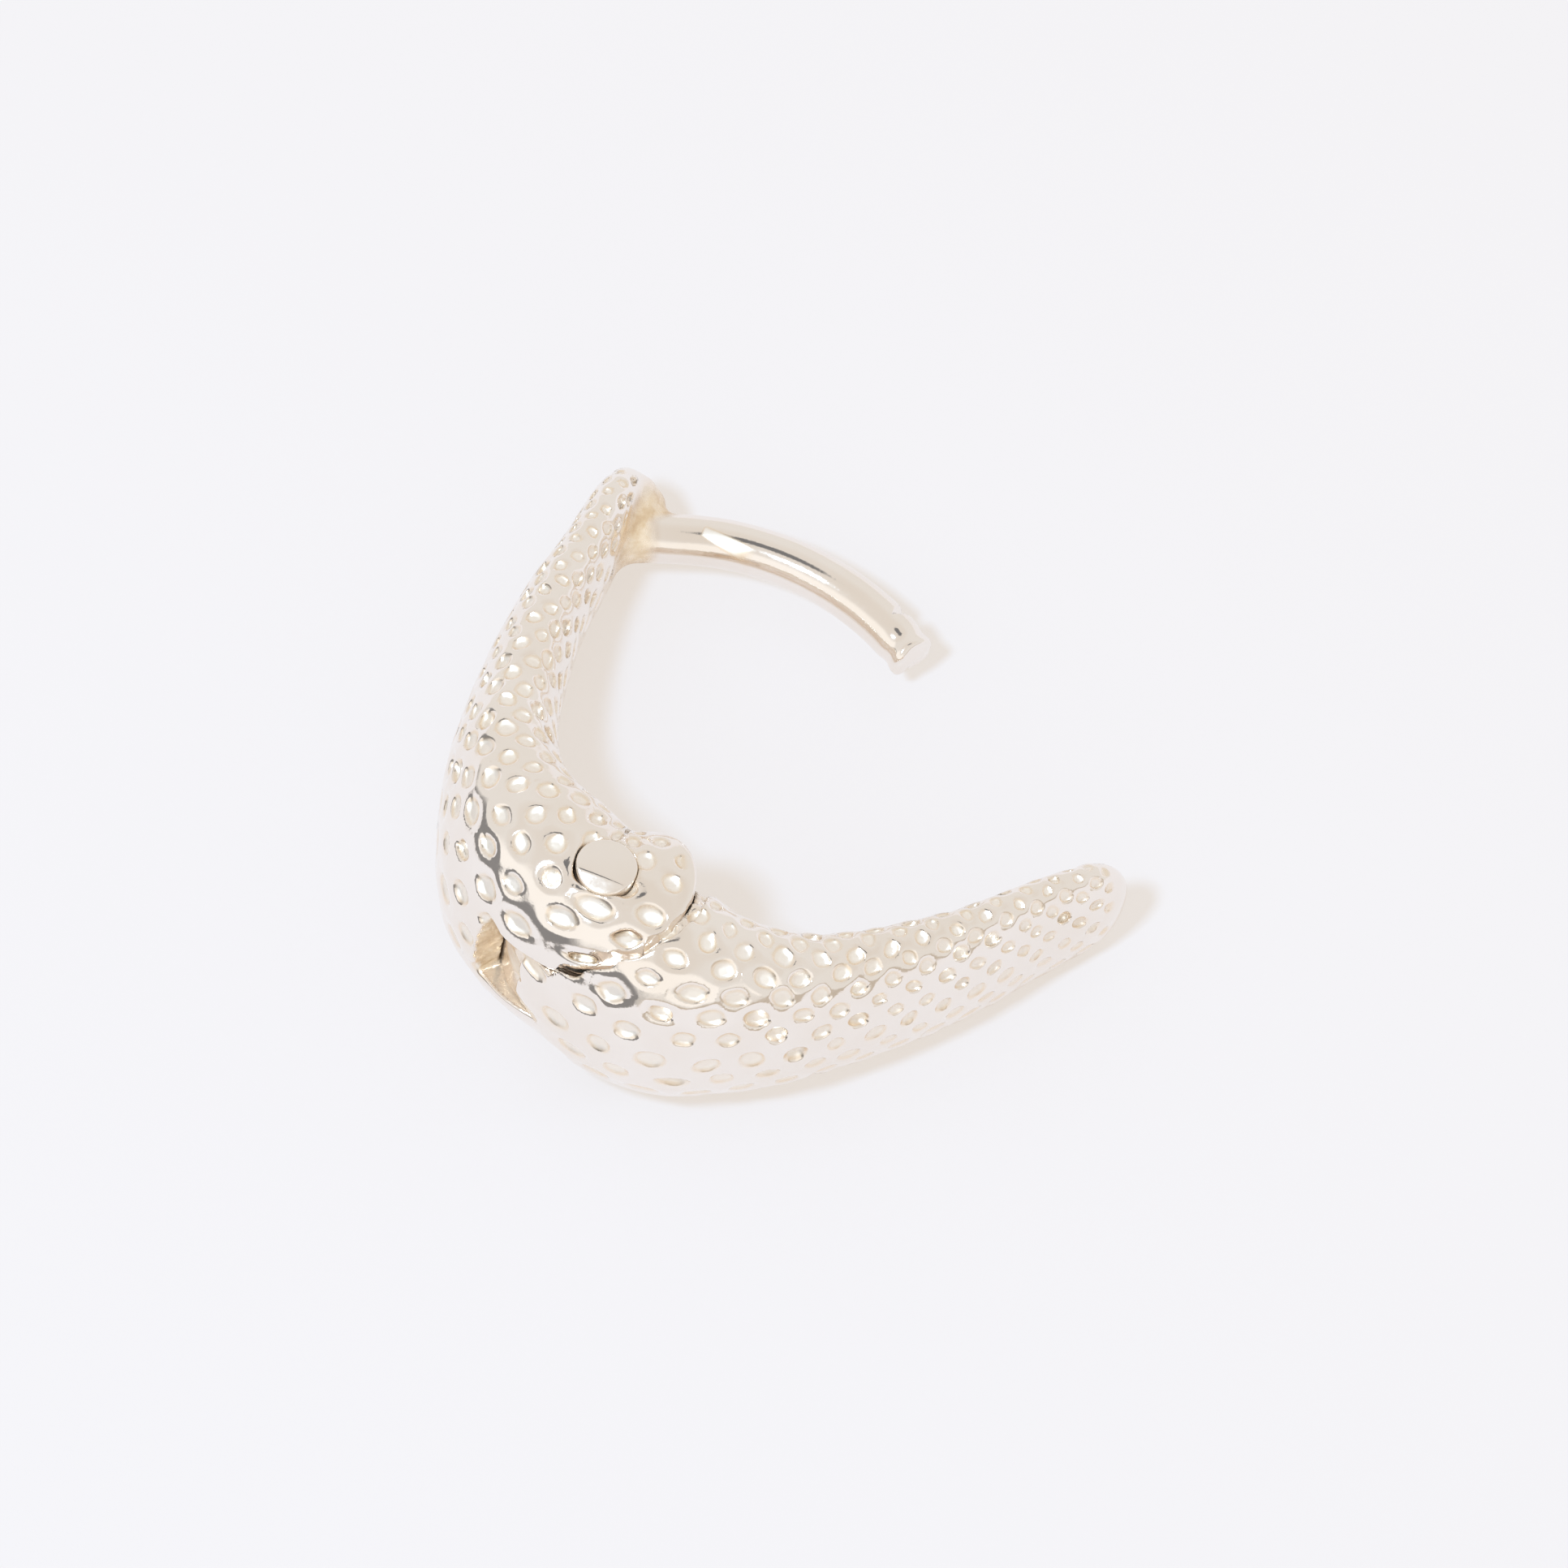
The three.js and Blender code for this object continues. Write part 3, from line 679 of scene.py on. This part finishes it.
def make_arm(name, field, plain, hand, turn, material, tarnish):
    """An arm with its marks for tarnish and dimples. hand is -1 for the mirrored arm."""
    points, quads, normals = meshed(field, *SPACE[name], GRID[name])
    made = piece(f"{name}_silver", points, quads, normals, hand, turn, material, name, name)
    mark(made, "tarnish", tarnish(points))
    mark(made, "dimple", arm_skin(points.T, plain)[1])


def make_pin(material):
    """A round pin with spread ends, ground almost flat with a lower facet on one side."""
    sides, profile = PIN_SIDES, []
    for radius in np.linspace(0, PIN_HEAD - PIN_EDGE, 22):
        profile.append((radius, PIN_HALF))
    for turn in np.linspace(0, math.pi / 2, 6)[1:]:
        inwards, down = PIN_EDGE * (1 - math.sin(turn)), PIN_EDGE * (1 - math.cos(turn))
        profile.append((PIN_HEAD - inwards, PIN_HALF - down))
    for height in np.linspace(HEAD_FULL, HEAD_FROM, 6):
        profile.append((PIN_RADIUS + (PIN_HEAD - PIN_RADIUS) * ease(height, HEAD_FROM, HEAD_FULL), height))
    profile += [(radius, -height) for radius, height in reversed(profile)]
    ring = 2 * math.pi * np.arange(sides) / sides
    rows = []
    for radius, height in profile:
        x, y = radius * np.cos(ring), radius * np.sin(ring)
        lower = FACET_WAY[0] * x + FACET_WAY[1] * y - FACET_FROM
        ground = PIN_CROWN * (radius / PIN_HEAD) ** 2
        ground = ground + FACET_SLOPE * (lower + np.sqrt(lower ** 2 + FACET_SOFT)) + PIN_SLANT * x
        top = abs(height) > HEAD_FULL
        rows.append(np.stack((x, y, height - np.sign(height) * np.where(top, ground, 0)), axis=1))
    points = np.concatenate(rows)
    faces = []
    for row in range(len(profile) - 1):
        for k in range(sides):
            after = (k + 1) % sides
            here, there = row * sides, (row + 1) * sides
            faces.append((here + k, there + k, there + after, here + after))
    shape = bpy.data.meshes.new("pin_shape")
    shape.from_pydata(points.tolist(), [], faces)
    shape.update()
    normals = np.array([tuple(v.normal) for v in shape.vertices])
    bpy.data.meshes.remove(shape)
    normals[:sides] = normals[sides:2 * sides].mean(0)
    normals[-sides:] = normals[-2 * sides:-sides].mean(0)
    pin = piece("hinge_pin_silver", points, np.array(faces), normals, 1, 0, material, "post_arm",
                "hinge_pin")
    below = within(np.abs(points[:, 2]), PIN_HALF - PIN_STAIN_BELOW)
    mark(pin, "tarnish", STAIN_SHARE["pin"] * below)


FLOOR_HALF, FLOOR_LEVEL = 0.6, -2e-5  # in metres


def make_floor():
    mesh = bpy.data.meshes.new("floor")
    corners = ((-1, -1), (1, -1), (1, 1), (-1, 1))
    mesh.from_pydata([(x * FLOOR_HALF, y * FLOOR_HALF, FLOOR_LEVEL) for x, y in corners], [], [(0, 1, 2, 3)])
    mesh.materials.append(floor_material())
    floor = bpy.data.objects.new("floor", mesh)
    bpy.context.scene.collection.objects.link(floor)


# Light and camera

PHOTO_SIDE = 1932
PHOTO_SCALE = 52.0  # pixels of the photo to a millimetre
PHOTO_PIN = (748, 1065)  # where the photo shows the pin's head
CAMERA_RISE = 64.0  # degrees above the surface
CAMERA_AWAY = 1.5  # metres
SENSOR = 36.0


def make_camera():
    """Looks from the photo's side, with the pin's head where the photo shows it."""
    data = bpy.data.cameras.new("camera")
    width = PHOTO_SIDE / PHOTO_SCALE * MM
    data.sensor_width = SENSOR
    data.lens = SENSOR * CAMERA_AWAY / width
    data.clip_start, data.clip_end = 0.01, 10
    camera = bpy.data.objects.new("camera", data)
    rise = math.radians(CAMERA_RISE)
    back = Vector((0, -math.cos(rise), math.sin(rise)))
    up = Vector((0, math.sin(rise), math.cos(rise)))
    head = PIN_PLACE + PIN_WAY * PIN_HALF * MM
    right_of = (PHOTO_SIDE / 2 - PHOTO_PIN[0]) / PHOTO_SCALE * MM
    below = (PHOTO_SIDE / 2 - PHOTO_PIN[1]) / PHOTO_SCALE * MM
    aim = head + Vector((1, 0, 0)) * right_of - up * below
    camera.location = aim + back * CAMERA_AWAY
    camera.rotation_euler = back.to_track_quat("Z", "Y").to_euler()
    bpy.context.scene.collection.objects.link(camera)
    bpy.context.scene.camera = camera


def soft_light(name, place, size, power, colour):
    """A square light that looks at the earring."""
    data = bpy.data.lights.new(name, "AREA")
    data.shape = "RECTANGLE"
    data.size, data.size_y = size, size
    data.energy = power
    data.color = colour
    light = bpy.data.objects.new(name, data)
    light.location = place
    light.rotation_euler = Vector(place).to_track_quat("Z", "Y").to_euler()
    bpy.context.scene.collection.objects.link(light)


class World(Nodes):
    """The studio as it is seen from the earring, told by direction."""

    def __init__(self):
        self.world = bpy.data.worlds.new("studio")
        bpy.context.scene.world = self.world
        self.world.use_nodes = True
        self.tree = self.world.node_tree
        self.shader = self.tree.nodes["Background"]
        self.way = self.add("ShaderNodeTexCoord").outputs["Generated"]
        self.height = self.add("ShaderNodeSeparateXYZ", {0: self.way}).outputs["Z"]

    def towards(self, aim):
        """The cosine of the angle to a direction."""
        return self.add("ShaderNodeVectorMath", {0: self.way, 1: Vector(aim).normalized()},
                        operation="DOT_PRODUCT").outputs["Value"]

    def fade(self, value, start, full):
        node = self.add("ShaderNodeMapRange", {"Value": value, "From Min": start, "From Max": full},
                        interpolation_type="SMOOTHSTEP")
        return node.outputs["Result"]


ROOM_TOP = (0.81, 0.765, 0.71, 1)
ROOM_SIDE = (0.845, 0.82, 0.785, 1)
ROOM_BRIGHT = (1.06, 1.03, 0.985, 1)
ROOM_DARK = (0.27, 0.265, 0.265, 1)
ROOM_BROWN = (0.60, 0.53, 0.45, 1)
ROOM_GAP = (0.20, 0.20, 0.205, 1)
LEFT_WAY, FRONT_WAY, RIGHT_WAY = (-0.966, -0.259, 0), (-0.616, -0.788, 0), (0.45, -0.89, 0)
GAP_WAY = (0.04, 0.13, 0.99)
SKYLINE_TILT = 0.08


def make_world():
    """A pale room with a bright window in front, a dark strip low on the left and a gap overhead."""
    w = World()
    left, front, right = (w.towards(way) for way in (LEFT_WAY, FRONT_WAY, RIGHT_WAY))
    depth = w.add("ShaderNodeSeparateXYZ", {0: w.way}).outputs["Y"]
    colour = w.blend(w.fade(w.height, 0.6, 0.92), ROOM_SIDE, ROOM_TOP)
    window = w.times(w.fade(w.height, 0.22, 0.34), w.fade(w.height, 0.86, 0.66))
    colour = w.blend(w.times(window, w.fade(front, 0.28, 0.52)), colour, ROOM_BRIGHT)
    colour = w.blend(w.fade(w.towards(GAP_WAY), 0.982, 0.993), colour, ROOM_GAP)
    right_low = w.times(w.fade(w.height, 0.20, 0.10), w.fade(right, 0.55, 0.85))
    colour = w.blend(right_low, colour, ROOM_BROWN)
    skyline = w.add("ShaderNodeMath", {0: depth, 1: SKYLINE_TILT, 2: w.height},
                    operation="MULTIPLY_ADD").outputs["Value"]
    left_low = w.times(w.fade(skyline, 0.35, 0.29), w.fade(left, 0.52, 0.74))
    colour = w.blend(left_low, colour, ROOM_DARK)
    w.put(w.shader.inputs["Color"], colour)
    w.put(w.shader.inputs["Strength"], 1.0)


KEY_WAY, KEY_AWAY, KEY_SIZE = Vector((-0.29, -0.29, 0.91)), 0.35, 0.045
KEY_POWER, KEY_COLOUR = 1.02, (0.6, 0.8, 1.0)


polished = silver("silver_skin")
make_arm("post_arm", post_arm_field, post_arm_plain, -1, POST_ARM_TURN, polished, tarnish_post_arm)
make_arm("catch_arm", catch_arm_field, catch_arm_plain, 1, CATCH_ARM_TURN, polished, tarnish_catch_arm)
make_pin(silver("silver_pin", 0.03))
make_floor()
make_world()
soft_light("key", KEY_WAY * KEY_AWAY, KEY_SIZE, KEY_POWER, KEY_COLOUR)
make_camera()
bpy.context.scene.view_settings.view_transform = "Standard"
